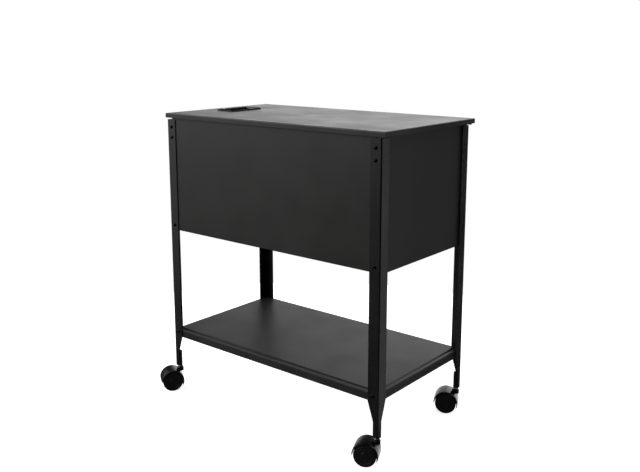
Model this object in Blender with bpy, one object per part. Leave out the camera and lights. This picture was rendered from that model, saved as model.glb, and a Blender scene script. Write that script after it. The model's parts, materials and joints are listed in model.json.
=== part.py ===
"""Rolling steel file cart: a locking tub for hanging files on four angle legs, with an
open shelf below and twin-wheel casters. The lid turns up about two pivots at the right
end and is let down outside that end in its tracks.

Metres, +Z up. X runs along the cart from the lock end (left) to the pivot end (right),
-Y is the front. Everything is built about the middle of the four legs and moved at the
end, so that the origin is on the floor under the middle of the whole cart.
"""
import math

import bmesh
import bpy
from mathutils import Matrix, Vector

# ---------------------------------------------------------------- driving sizes
CART_LENGTH = 0.635          # over the legs, along X
CART_DEPTH = 0.343           # over the legs, along Y
LID_TOP = 0.7095             # height of the lid's top face
GAP = 0.0003                 # between pieces that touch
RUNNING_GAP = 0.0006         # round pieces that turn or slide
BEND_RADIUS = 0.0010         # inside radius of a bend in sheet
CORNER_CLEARANCE = 0.45 * BEND_RADIUS + GAP / 2      # square corner in a bent angle
BEND_STEPS = 3

# legs: steel angle with a tapered foot
LEG_FLANGE = 0.027
LEG_WALL = 0.0016
LEG_BELOW_LID = 0.0155
TAPER_HEIGHT = 0.0430        # below the shelf
FOOT_FLANGE = 0.0130

# tub
PANEL_WALL = 0.0010
TUB_BELOW_LID = 0.0055
TUB_BOTTOM = 0.4200
END_PANEL_DROP = 0.0030
TOP_RETURN = 0.0090
BOTTOM_RETURN = 0.0120
CORNER_NOTCH = 0.0125
RAIL_REACH = 0.0115
RAIL_LIP = 0.0100
RAIL_TAB = 0.0140
RAIL_BELOW_TUB_TOP = 0.0140
RAIL_END_CLEARANCE = 0.030

# shelf
SHELF_BOTTOM = 0.1410
SHELF_SKIRT = 0.0195
SHELF_LEDGE = 0.0086         # round the raised deck
SHELF_SLOPE = 0.0040
SHELF_DECK_RISE = 0.0020
SHELF_HEM = 0.0080

# lid
LID_WALL = 0.0010
LID_FLANGE = 0.0110
LID_END_FLANGE_LEFT = 0.0045
LID_SIDE_OVERHANG = 0.0058
LID_LEFT_INSET = 0.0010
LID_RIGHT_OVERHANG = 0.0110
LID_DECK_MARGIN = 0.010

# lid pivots and tracks
PIVOT_OUT = 0.0070           # pivot axis beyond the legs' end face
PIVOT_BELOW_LID = 0.0065
PIVOT_PIN_RADIUS = 0.0015
PIVOT_EYE_WALL = 0.0010
PIN_HEAD_HEIGHT = 0.0012
TRACK_WALL = 0.0015
TRACK_BELOW_PIVOT = 0.0042
SLOT_HALF_HEIGHT = 0.0023    # takes the slide block
BLOCK_FLANGE_STEP = 0.0012
BLOCK_FLANGE_WALL = 0.0010
BLOCK_BACK = 0.0050
BLOCK_FRONT = 0.0024
LID_TRAVEL = 0.400
TRACK_SPARE = 0.010
BRACKET_WALL = 0.0015
BRACKET_TAB_LENGTH = 0.023
BRACKET_TAB_DROP = 0.034

# lock and strike
LOCK_FROM_LID_END = 0.031
LOCK_BODY_RADIUS = 0.0090
LOCK_HEAD_OVERHANG = 0.0015
LOCK_HEAD_HEIGHT = 0.0015
LOCK_HEAD_EDGE = 0.0006
LOCK_BODY_DROP = 0.0222
LOCK_NUT_WALL = 0.00325
LOCK_NUT_HEIGHT = 0.0030
PLUG_RADIUS = 0.0060
PLUG_TAIL_RADIUS = 0.0030
KEYWAY_LENGTH = 0.0075
KEYWAY_WIDTH = 0.0013
KEYWAY_DEPTH = 0.0030
CAM_BELOW_LID = 0.0240
CAM_WALL = 0.0016
CAM_LENGTH = 0.0235
CAM_HALF_WIDTH = 0.0055
CAM_EYE_WALL = 0.0035
STRIKE_WALL = 0.0012
STRIKE_REACH = 0.0110
STRIKE_TAB = 0.0180
STRIKE_WIDTH = 0.030

# recessed handle
CUP_FROM_LID_END = 0.047
CUP_LENGTH = 0.056           # along X
CUP_WIDTH = 0.104            # along Y
CUP_BEZEL = 0.0045
CUP_BEZEL_HEIGHT = 0.0016
CUP_DEPTH = 0.0160
CUP_WALL = 0.0014
CUP_SLOPE = 0.0200
CUP_CORNER = 0.0050
CUP_INNER_CORNER = 0.0010
CUP_EDGE = 0.0006
CUP_DRAFT = 0.0010

# fasteners
SCREW_INSET = 0.0145         # from the leg's corner
SCREW_BELOW_LEG_TOP = 0.0180
SHELF_SCREW_UP = 0.0140      # above the shelf's lower edge
SCREW_HEAD_RADIUS = 0.0042
SCREW_HEAD_HEIGHT = 0.0022
SCREW_RADIUS = 0.0020
SCREW_LENGTH = 0.0070

# casters
WHEEL_RADIUS = 0.0250
WHEEL_WIDTH = 0.0170
TRAIL = 0.0220
WEB_HALF = 0.0040
WHEEL_SIDE_GAP = 0.0005
WHEEL_SHOULDER = 0.0040
TREAD_ROUND = 0.0030
AXLE_RADIUS = 0.0025
AXLE_END_COVER = 0.0045      # of the wheel's cap beyond the axle
WEB_HALF_FOOT = 0.0080
WEB_BELOW_AXLE = 0.0120
WEB_UNDER_FENDER = 0.0006
HOOD_CLEARANCE = 0.0015
HOOD_RISE = 0.0030
HOOD_TIP_DROP = 0.0050
HOOD_LEAN = math.radians(10)
HOOD_OVER_WHEEL = 0.0005
HOOD_HEADROOM = 0.0070       # of the stem boss above the wheels
STEM_BOSS_WALL = 0.0042
STEM_BOSS_HEIGHT = 0.0095
BOSS_CHAMFER = 0.0020
STEM_RADIUS = 0.0040
STEM_CHAMFER = 0.0010
STEM_LENGTH = 0.0340         # inside the foot
COLLAR_WIDTH = 0.0025
COLLAR_SPACE = 0.0050        # between the boss and the foot
SOCKET_WALL = 0.0017
SOCKET_LENGTH = 0.0380
# directions in which the wheels trail, in degrees from +X
CASTER_HEADING = {"front_left": 236, "front_right": 205, "back_left": 216, "back_right": 206}

# ---------------------------------------------------------------- derived sizes
HALF_LENGTH = CART_LENGTH / 2
HALF_DEPTH = CART_DEPTH / 2
LEG_TOP = LID_TOP - LEG_BELOW_LID
HOOD_TOP = 2 * WHEEL_RADIUS + HOOD_HEADROOM
FOOT_BOTTOM = HOOD_TOP + COLLAR_SPACE
TAPER_BOTTOM = SHELF_BOTTOM - TAPER_HEIGHT
TUB_TOP = LID_TOP - TUB_BELOW_LID
PANEL_X = HALF_LENGTH - LEG_WALL - CORNER_CLEARANCE          # outer faces of the end panels
PANEL_Y = HALF_DEPTH - LEG_WALL - CORNER_CLEARANCE           # outer faces of front and back
INNER_X = PANEL_X - PANEL_WALL
INNER_Y = PANEL_Y - PANEL_WALL
SHELF_LEDGE_TOP = SHELF_BOTTOM + SHELF_SKIRT
SHELF_TOP = SHELF_LEDGE_TOP + SHELF_DECK_RISE
LID_LEFT = -HALF_LENGTH + LID_LEFT_INSET
LID_RIGHT = HALF_LENGTH + LID_RIGHT_OVERHANG
LID_Y = HALF_DEPTH + LID_SIDE_OVERHANG
PIVOT_X = HALF_LENGTH + PIVOT_OUT
PIVOT_Z = LID_TOP - PIVOT_BELOW_LID
PIVOT_EYE_RADIUS = PIVOT_PIN_RADIUS + PIVOT_EYE_WALL
BLOCK_HALF_HEIGHT = SLOT_HALF_HEIGHT - GAP
TRACK_Y = LID_Y - LID_WALL - GAP                # outer face of a track
BRACKET_Y = INNER_Y - GAP                       # outer face of a bracket
LOCK_X = LID_LEFT + LOCK_FROM_LID_END
LOCK_HEAD_RADIUS = LOCK_BODY_RADIUS + LOCK_HEAD_OVERHANG
CAM_TOP = LID_TOP - CAM_BELOW_LID
CUP_LEFT = LID_LEFT + CUP_FROM_LID_END
STEM_HOLE = STEM_RADIUS + GAP
STEM_BOSS_RADIUS = STEM_HOLE + STEM_BOSS_WALL
SOCKET_RADIUS = STEM_HOLE + SOCKET_WALL
STEM_INSET = LEG_WALL + GAP + SOCKET_RADIUS
CORNERS = {"front_left": (-1, -1), "front_right": (1, -1),
           "back_left": (-1, 1), "back_right": (1, 1)}
SIDES = {"front": -1, "back": 1}

for old in list(bpy.data.objects):
    bpy.data.objects.remove(old, do_unlink=True)


# ---------------------------------------------------------------- materials
def finish(name, colour, roughness, metallic):
    material = bpy.data.materials.new(name)
    material.use_nodes = True
    shader = material.node_tree.nodes["Principled BSDF"]
    shader.inputs["Base Color"].default_value = (*colour, 1)
    shader.inputs["Roughness"].default_value = roughness
    shader.inputs["Metallic"].default_value = metallic
    return material


BLACK_COAT = finish("black_powder_coat", (0.018, 0.018, 0.019), 0.45, 0.0)
BLACK_PLASTIC = finish("black_moulded_plastic", (0.008, 0.008, 0.008), 0.35, 0.0)
CHROME = finish("chrome_plated_zinc", (0.75, 0.75, 0.76), 0.15, 1.0)
ZINC = finish("bright_zinc_plate", (0.60, 0.61, 0.62), 0.30, 1.0)
BLACK_SCREW = finish("black_oxide_steel", (0.012, 0.012, 0.013), 0.40, 0.6)
NYLON = finish("natural_nylon", (0.62, 0.60, 0.54), 0.50, 0.0)


# ---------------------------------------------------------------- mesh helpers
def add_object(name, bm, material, parent=None, guide=False):
    bmesh.ops.recalc_face_normals(bm, faces=bm.faces)
    mesh = bpy.data.meshes.new(name)
    bm.to_mesh(mesh)
    bm.free()
    mesh.materials.append(material)
    mesh.shade_smooth()
    mesh.set_sharp_from_angle(angle=math.radians(35))
    item = bpy.data.objects.new(name, mesh)
    bpy.context.scene.collection.objects.link(item)
    item.parent = parent
    if guide:
        item.hide_render = True
        item.display_type = "WIRE"
    return item


def boolean(item, tool, operation="DIFFERENCE"):
    step = item.modifiers.new(operation.lower(), "BOOLEAN")
    step.operation = operation
    step.object = tool
    return item


def bent_sheet(path, wall, radius=BEND_RADIUS, steps=BEND_STEPS):
    """Both faces of a bent sheet: the given line, and the one a wall to its right."""
    points = [Vector(p) for p in path]
    outer, inner = [], []
    for i, point in enumerate(points):
        before = (point - points[i - 1]).normalized() if i else None
        after = (points[i + 1] - point).normalized() if i + 1 < len(points) else None
        if before is None or after is None:
            along = after or before
            normal = Vector((-along.y, along.x))
            outer.append(point.copy())
            inner.append(point - wall * normal)
            continue
        first = Vector((-before.y, before.x))
        last = Vector((-after.y, after.x))
        turn = math.atan2(before.cross(after), before.dot(after))
        near, far = (radius + wall, radius) if turn < 0 else (-radius, -radius - wall)
        centre = point - (first + last) / (1 + first.dot(last)) * near
        for k in range(steps + 1):
            normal = Matrix.Rotation(turn * k / steps, 2) @ first
            outer.append(centre + near * normal)
            inner.append(centre + far * normal)
    return outer, inner


def sheet_section(path, wall):
    outer, inner = bent_sheet(path, wall)
    return [tuple(p) for p in outer] + [tuple(p) for p in reversed(inner)]


def loft(rings):
    """A closed skin through rings of points, with a flat cap on the first and the last."""
    bm = bmesh.new()
    rows = [[bm.verts.new(p) for p in points] for points in rings]
    for lower, upper in zip(rows, rows[1:]):
        for i in range(len(lower)):
            bm.faces.new((lower[i - 1], lower[i], upper[i], upper[i - 1]))
    bm.faces.new(rows[0])
    bm.faces.new(rows[-1])
    return bm


def prism(outline, axis, start, end):
    """An outline pushed along X, Y or Z; it is drawn in the other two axes, in order."""
    spread = {"X": lambda p, t: (t, p[0], p[1]), "Y": lambda p, t: (p[0], t, p[1]),
              "Z": lambda p, t: (p[0], p[1], t)}[axis]
    bm = bmesh.new()
    face = bm.faces.new([bm.verts.new(spread(p, start)) for p in outline])
    made = bmesh.ops.extrude_face_region(bm, geom=[face])
    verts = [g for g in made["geom"] if isinstance(g, bmesh.types.BMVert)]
    bmesh.ops.translate(bm, verts=verts, vec=spread((0, 0), end - start))
    return bm


def block(low, high):
    outline = [(low[0], low[1]), (high[0], low[1]), (high[0], high[1]), (low[0], high[1])]
    return prism(outline, "Z", low[2], high[2])


def turned(profile, centre, axis, segments):
    """A closed turned piece: profile points are (radius, distance along the axis)."""
    bm = bmesh.new()
    direction = Vector(axis)
    side = direction.orthogonal().normalized()
    if abs(direction.z) < 0.5:
        side = Vector((0, 0, -1))
    verts = [bm.verts.new(Vector(centre) + side * r + direction * t) for r, t in profile]
    edges = [bm.edges.new(verts[i:i + 2]) for i in range(len(profile) - 1)
             if profile[i][0] or profile[i + 1][0]]
    if profile[0][0] > 0 and profile[-1][0] > 0:
        edges.append(bm.edges.new((verts[-1], verts[0])))
    bmesh.ops.spin(bm, geom=verts + edges, cent=centre, axis=direction, angle=math.tau,
                   steps=segments, use_merge=True)
    bmesh.ops.remove_doubles(bm, verts=bm.verts, dist=1e-6)
    return bm


def joined(pieces):
    """Separate solids in one mesh, for a cutter that makes several holes."""
    whole = bmesh.new()
    for bm in pieces:
        mesh = bpy.data.meshes.new("piece")
        bm.to_mesh(mesh)
        bm.free()
        whole.from_mesh(mesh)
        bpy.data.meshes.remove(mesh)
    return whole


def rounded_rectangle(low, high, radius, z, steps=3):
    points = []
    for cx, cy, start in ((high[0], high[1], 0), (low[0], high[1], 90),
                          (low[0], low[1], 180), (high[0], low[1], 270)):
        for k in range(steps + 1):
            angle = math.radians(start + 90 * k / steps)
            x = cx + radius * (math.cos(angle) - (1 if cx == high[0] else -1))
            y = cy + radius * (math.sin(angle) - (1 if cy == high[1] else -1))
            points.append((x, y, z))
    return points


def pan(low, high, path, wall):
    """A pressed pan: path runs (inset from the edge, height) from skirt to deck."""
    def ring(inset, z):
        return [(low[0] + inset, low[1] + inset, z), (high[0] - inset, low[1] + inset, z),
                (high[0] - inset, high[1] - inset, z), (low[0] + inset, high[1] - inset, z)]
    outer, inner = bent_sheet(path, wall)
    return loft([ring(*p) for p in reversed(inner)] + [ring(*p) for p in outer])


# ---------------------------------------------------------------- fasteners
def screw_centres(sx):
    x = sx * (HALF_LENGTH - SCREW_INSET)
    return {"upper": (x, LEG_TOP - SCREW_BELOW_LEG_TOP),
            "shelf": (x, SHELF_BOTTOM + SHELF_SCREW_UP)}


def make_screws(corner, sx, sy):
    """Pan-head screws from outside, and the cutter for their holes."""
    holes = []
    for place, (x, z) in screw_centres(sx).items():
        face = sy * (HALF_DEPTH + GAP)
        profile = [(0, SCREW_HEAD_HEIGHT), (SCREW_HEAD_RADIUS * 0.6, SCREW_HEAD_HEIGHT),
                   (SCREW_HEAD_RADIUS, SCREW_HEAD_HEIGHT * 0.45), (SCREW_HEAD_RADIUS, 0),
                   (SCREW_RADIUS, 0), (SCREW_RADIUS, -SCREW_LENGTH), (0, -SCREW_LENGTH)]
        bm = turned(profile, (x, face, z), (0, sy, 0), 12)
        add_object(f"screw_{corner}_{place}", bm, BLACK_SCREW)
        reach = SCREW_LENGTH + RUNNING_GAP
        hole = [(0, reach), (SCREW_RADIUS + 2 * GAP, reach),
                (SCREW_RADIUS + 2 * GAP, -reach), (0, -reach)]
        holes.append(turned(hole, (x, face, z), (0, sy, 0), 12))
    return add_object(f"screw_holes_{corner}", joined(holes), BLACK_SCREW, guide=True)


# ---------------------------------------------------------------- frame and tub
def make_leg(corner, sx, sy):
    def ring(flange, z):
        path = [(-HALF_LENGTH + flange, -HALF_DEPTH), (-HALF_LENGTH, -HALF_DEPTH),
                (-HALF_LENGTH, -HALF_DEPTH + flange)]
        return [(-sx * x, -sy * y, z) for x, y in sheet_section(path, LEG_WALL)]
    stations = [(FOOT_FLANGE, FOOT_BOTTOM), (FOOT_FLANGE, TAPER_BOTTOM),
                (LEG_FLANGE, SHELF_BOTTOM), (LEG_FLANGE, LEG_TOP)]
    return add_object(f"leg_{corner}", loft([ring(*s) for s in stations]), BLACK_COAT)


def corner_notches():
    pieces = []
    for sx, sy in CORNERS.values():
        xs = sorted((sx * (INNER_X - CORNER_NOTCH), sx * (HALF_LENGTH + CORNER_NOTCH)))
        ys = sorted((sy * (INNER_Y - CORNER_NOTCH), sy * (HALF_DEPTH + CORNER_NOTCH)))
        pieces.append(block((xs[0], ys[0], LEG_TOP), (xs[1], ys[1], LID_TOP)))
    return add_object("corner_notches", joined(pieces), BLACK_COAT, guide=True)


def make_long_panel(side, sy):
    path = [(-PANEL_Y + BOTTOM_RETURN, TUB_BOTTOM), (-PANEL_Y, TUB_BOTTOM),
            (-PANEL_Y, TUB_TOP), (-PANEL_Y + TOP_RETURN, TUB_TOP)]
    outline = [(-sy * y, z) for y, z in sheet_section(path, PANEL_WALL)]
    reach = INNER_X - GAP
    return add_object(f"{side}_panel", prism(outline, "X", -reach, reach), BLACK_COAT)


def make_end_panel(name, sx):
    bottom = TUB_BOTTOM - END_PANEL_DROP
    path = [(-PANEL_X + BOTTOM_RETURN, bottom), (-PANEL_X, bottom),
            (-PANEL_X, TUB_TOP), (-PANEL_X + TOP_RETURN, TUB_TOP)]
    outline = [(-sx * x, z) for x, z in sheet_section(path, PANEL_WALL)]
    return add_object(f"{name}_end_panel", prism(outline, "Y", -PANEL_Y, PANEL_Y),
                      BLACK_COAT)


def make_tub_floor():
    low = TUB_BOTTOM + PANEL_WALL + GAP
    x, y = INNER_X - GAP, INNER_Y - BEND_RADIUS - GAP
    return add_object("tub_floor", block((-x, -y, low), (x, y, low + PANEL_WALL)),
                      BLACK_COAT)


def make_file_rail(side, sy):
    face = -INNER_Y + GAP
    ledge = TUB_TOP - RAIL_BELOW_TUB_TOP
    path = [(face, ledge - RAIL_TAB), (face, ledge), (face + RAIL_REACH, ledge),
            (face + RAIL_REACH, ledge + RAIL_LIP)]
    outline = [(-sy * y, z) for y, z in sheet_section(path, PANEL_WALL)]
    reach = INNER_X - RAIL_END_CLEARANCE
    return add_object(f"file_rail_{side}", prism(outline, "X", -reach, reach), BLACK_COAT)


def make_shelf():
    deck = SHELF_LEDGE + SHELF_SLOPE
    path = [(SHELF_HEM, SHELF_BOTTOM), (0, SHELF_BOTTOM), (0, SHELF_LEDGE_TOP),
            (SHELF_LEDGE, SHELF_LEDGE_TOP), (deck, SHELF_TOP),
            (deck + SHELF_HEM, SHELF_TOP)]
    bm = pan((-PANEL_X, -PANEL_Y), (PANEL_X, PANEL_Y), path, PANEL_WALL)
    return add_object("shelf", bm, BLACK_COAT)


# ---------------------------------------------------------------- lid, handle and lock
def make_lid():
    path = [(0, LID_TOP - LID_FLANGE), (0, LID_TOP), (LID_DECK_MARGIN, LID_TOP)]
    lid = add_object("lid_panel", pan((LID_LEFT, -LID_Y), (LID_RIGHT, LID_Y), path,
                                      LID_WALL), BLACK_COAT)
    body = CUP_BEZEL - GAP
    cuts = [block((CUP_LEFT + body, -CUP_WIDTH / 2 + body, LID_TOP - LID_FLANGE),
                  (CUP_LEFT + CUP_LENGTH - body, CUP_WIDTH / 2 - body,
                   LID_TOP + LID_FLANGE)),
            turned([(0, -LID_FLANGE), (LOCK_BODY_RADIUS + RUNNING_GAP, -LID_FLANGE),
                    (LOCK_BODY_RADIUS + RUNNING_GAP, LID_FLANGE), (0, LID_FLANGE)],
                   (LOCK_X, 0, LID_TOP), (0, 0, 1), 24),
            block((LID_LEFT - LID_WALL, -LID_Y + 2 * LID_WALL + BEND_RADIUS,
                   LID_TOP - 2 * LID_FLANGE),
                  (LID_LEFT + 3 * LID_WALL, LID_Y - 2 * LID_WALL - BEND_RADIUS,
                   LID_TOP - LID_END_FLANGE_LEFT))]
    tool = add_object("lid_cutouts", joined(cuts), BLACK_COAT, guide=True)
    return boolean(lid, tool)


def make_handle_cup():
    """A bezelled pull, deep towards the lock and sloped up at its other side."""
    top = LID_TOP + GAP
    half = CUP_WIDTH / 2
    right = CUP_LEFT + CUP_LENGTH

    def ring(inset, z, slope=0.0):
        low = (CUP_LEFT + inset, -half + inset)
        high = (right - inset - slope, half - inset)
        return rounded_rectangle(low, high, max(CUP_CORNER - inset, CUP_INNER_CORNER), z)
    floor = LID_TOP - CUP_DEPTH
    lip = CUP_BEZEL + CUP_WALL
    face = top + CUP_BEZEL_HEIGHT
    rings = [ring(CUP_BEZEL + CUP_DRAFT, floor, CUP_SLOPE),
             ring(CUP_BEZEL, LID_TOP - LID_WALL), ring(CUP_BEZEL, top), ring(0, top),
             ring(0, face - CUP_EDGE), ring(CUP_EDGE, face), ring(lip, face),
             ring(lip, LID_TOP - LID_WALL),
             ring(lip + CUP_DRAFT, floor + CUP_WALL, CUP_SLOPE)]
    return add_object("handle_cup", loft(rings), BLACK_PLASTIC)


def make_lock():
    top = LID_TOP + GAP
    bottom = LID_TOP - LOCK_BODY_DROP
    bore = PLUG_RADIUS + GAP
    centre = (LOCK_X, 0, 0)
    head = top + LOCK_HEAD_HEIGHT
    profile = [(bore, bottom), (LOCK_BODY_RADIUS, bottom), (LOCK_BODY_RADIUS, top),
               (LOCK_HEAD_RADIUS, top), (LOCK_HEAD_RADIUS, head - LOCK_HEAD_EDGE),
               (LOCK_HEAD_RADIUS - LOCK_HEAD_EDGE, head), (bore, head)]
    add_object("lock_housing", turned(profile, centre, (0, 0, 1), 24), CHROME)

    nut_top = LID_TOP - LID_WALL - GAP
    reach = (LOCK_BODY_RADIUS + LOCK_NUT_WALL) / math.cos(math.pi / 6)
    hexagon = [(LOCK_X + reach * math.cos(math.tau * k / 6),
                reach * math.sin(math.tau * k / 6)) for k in range(6)]
    nut = add_object("lock_nut", prism(hexagon, "Z", nut_top - LOCK_NUT_HEIGHT, nut_top),
                     ZINC)
    hole = LOCK_BODY_RADIUS + GAP
    tool = turned([(0, 0), (hole, 0), (hole, LID_TOP), (0, LID_TOP)], centre,
                  (0, 0, 1), 24)
    boolean(nut, add_object("lock_nut_hole", tool, ZINC, guide=True))

    shoulder = bottom - GAP
    tail_end = CAM_TOP - CAM_WALL - RUNNING_GAP
    profile = [(0, tail_end), (PLUG_TAIL_RADIUS, tail_end), (PLUG_TAIL_RADIUS, shoulder),
               (PLUG_RADIUS, shoulder), (PLUG_RADIUS, head - GAP), (0, head - GAP)]
    plug = add_object("lock_plug", turned(profile, centre, (0, 0, 1), 24), CHROME)
    keyway = block((LOCK_X - KEYWAY_WIDTH / 2, -KEYWAY_LENGTH / 2, head - KEYWAY_DEPTH),
                   (LOCK_X + KEYWAY_WIDTH / 2, KEYWAY_LENGTH / 2, head + KEYWAY_DEPTH))
    boolean(plug, add_object("lock_keyway", keyway, CHROME, guide=True))

    eye = PLUG_TAIL_RADIUS + GAP
    outline = []
    for cy, start, reach in ((0, 180, eye + CAM_EYE_WALL - GAP),
                             (CAM_LENGTH - CAM_HALF_WIDTH, 0, CAM_HALF_WIDTH)):
        for k in range(7):
            angle = math.radians(start + 30 * k)
            outline.append((LOCK_X + reach * math.cos(angle), cy + reach * math.sin(angle)))
    cam = add_object("lock_cam", prism(outline, "Z", CAM_TOP - CAM_WALL, CAM_TOP), ZINC)
    tool = turned([(0, 0), (eye, 0), (eye, LID_TOP), (0, LID_TOP)], centre, (0, 0, 1), 16)
    boolean(cam, add_object("lock_cam_eye", tool, ZINC, guide=True))


def make_strike():
    """The angle on the left end panel whose ledge the cam turns under."""
    face = -INNER_X + GAP
    ledge = CAM_TOP + RUNNING_GAP + STRIKE_WALL
    path = [(face, ledge - STRIKE_TAB), (face, ledge), (face + STRIKE_REACH, ledge)]
    bm = prism(sheet_section(path, STRIKE_WALL), "Y", -STRIKE_WIDTH / 2, STRIKE_WIDTH / 2)
    return add_object("lock_strike", bm, ZINC)


# ---------------------------------------------------------------- lid pivots
def make_pivot(side, sy):
    """Bracket inside the tub, its arm over the end panel, and the pin on the arm."""
    inner, outer = sorted((sy * BRACKET_Y, sy * (BRACKET_Y - BRACKET_WALL)))
    tab_right = INNER_X - RUNNING_GAP
    tab_left = tab_right - BRACKET_TAB_LENGTH
    arm_left = INNER_X - CORNER_NOTCH + 2 * RUNNING_GAP
    arm_low = LEG_TOP + 2 * RUNNING_GAP
    tab_top = TUB_TOP - PANEL_WALL - RUNNING_GAP
    arm_top = PIVOT_Z + PIVOT_EYE_RADIUS
    outline = [(tab_left, LEG_TOP - BRACKET_TAB_DROP), (tab_right, LEG_TOP - BRACKET_TAB_DROP),
               (tab_right, arm_low), (PIVOT_X + PIVOT_EYE_WALL, arm_low)]
    for k in range(5):
        angle = math.radians(-30 + 30 * k)
        outline.append((PIVOT_X + PIVOT_EYE_RADIUS * math.cos(angle),
                        PIVOT_Z + PIVOT_EYE_RADIUS * math.sin(angle)))
    outline += [(arm_left, arm_top), (arm_left, tab_top), (tab_left, tab_top)]
    bracket = add_object(f"pivot_bracket_{side}", prism(outline, "Y", inner, outer),
                         BLACK_COAT)
    eye = PIVOT_PIN_RADIUS + GAP
    tool = turned([(0, -BRACKET_Y), (eye, -BRACKET_Y), (eye, BRACKET_Y), (0, BRACKET_Y)],
                  (PIVOT_X, 0, PIVOT_Z), (0, 1, 0), 12)
    boolean(bracket, add_object(f"pivot_eye_{side}", tool, ZINC, guide=True))

    back = BRACKET_Y - BRACKET_WALL - GAP
    profile = [(0, back - PIN_HEAD_HEIGHT), (PIVOT_EYE_RADIUS, back - PIN_HEAD_HEIGHT),
               (PIVOT_EYE_RADIUS, back),
               (PIVOT_PIN_RADIUS, back), (PIVOT_PIN_RADIUS, TRACK_Y - GAP),
               (0, TRACK_Y - GAP)]
    add_object(f"pivot_pin_{side}",
               turned(profile, (PIVOT_X, 0, PIVOT_Z), (0, sy, 0), 12), BLACK_SCREW)
    return bracket


def make_slide_block(side, sy):
    shoulder = TRACK_Y - TRACK_WALL - GAP
    flange = BLOCK_HALF_HEIGHT + BLOCK_FLANGE_STEP
    profile = [(shoulder - BLOCK_FLANGE_WALL, flange), (shoulder, flange),
               (shoulder, BLOCK_HALF_HEIGHT),
               (TRACK_Y, BLOCK_HALF_HEIGHT)]
    outline = [(sy * y, PIVOT_Z + z) for y, z in profile]
    outline += [(sy * y, PIVOT_Z - z) for y, z in reversed(profile)]
    slider = add_object(f"slide_block_{side}",
                        prism(outline, "X", PIVOT_X - BLOCK_BACK, PIVOT_X + BLOCK_FRONT),
                        NYLON)
    eye = PIVOT_PIN_RADIUS + GAP
    tool = turned([(0, 0), (eye, 0), (eye, LID_Y), (0, LID_Y)],
                  (PIVOT_X, 0, PIVOT_Z), (0, sy, 0), 12)
    return boolean(slider, add_object(f"slide_eye_{side}", tool, NYLON, guide=True))


def make_track(side, sy):
    y0, y1 = sorted((sy * TRACK_Y, sy * (TRACK_Y - TRACK_WALL)))
    slot_left = PIVOT_X - LID_TRAVEL - BLOCK_BACK - RUNNING_GAP
    slot_right = PIVOT_X + BLOCK_FRONT + RUNNING_GAP / 2
    low = PIVOT_Z - TRACK_BELOW_PIVOT
    high = LID_TOP - LID_WALL - BEND_RADIUS
    bm = block((slot_left - TRACK_SPARE, y0, low), (LID_RIGHT - LID_WALL - GAP, y1, high))
    track = add_object(f"lid_track_{side}", bm, ZINC)
    slot = block((slot_left, min(y0, y1) - TRACK_WALL, PIVOT_Z - SLOT_HALF_HEIGHT),
                 (slot_right, max(y0, y1) + TRACK_WALL, PIVOT_Z + SLOT_HALF_HEIGHT))
    return boolean(track, add_object(f"track_slot_{side}", slot, ZINC, guide=True))


# ---------------------------------------------------------------- casters
def hood_arc(radius, rise, tip, steps, backwards=False):
    """Points of an arc over the wheel, from one horn tip to the other."""
    first = math.atan2(tip.y - rise, tip.x)
    last = math.pi - first
    turns = [first + (last - first) * k / steps for k in range(steps + 1)]
    points = [Vector((radius * math.cos(a), rise + radius * math.sin(a))) for a in turns]
    return list(reversed(points)) if backwards else points


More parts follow.
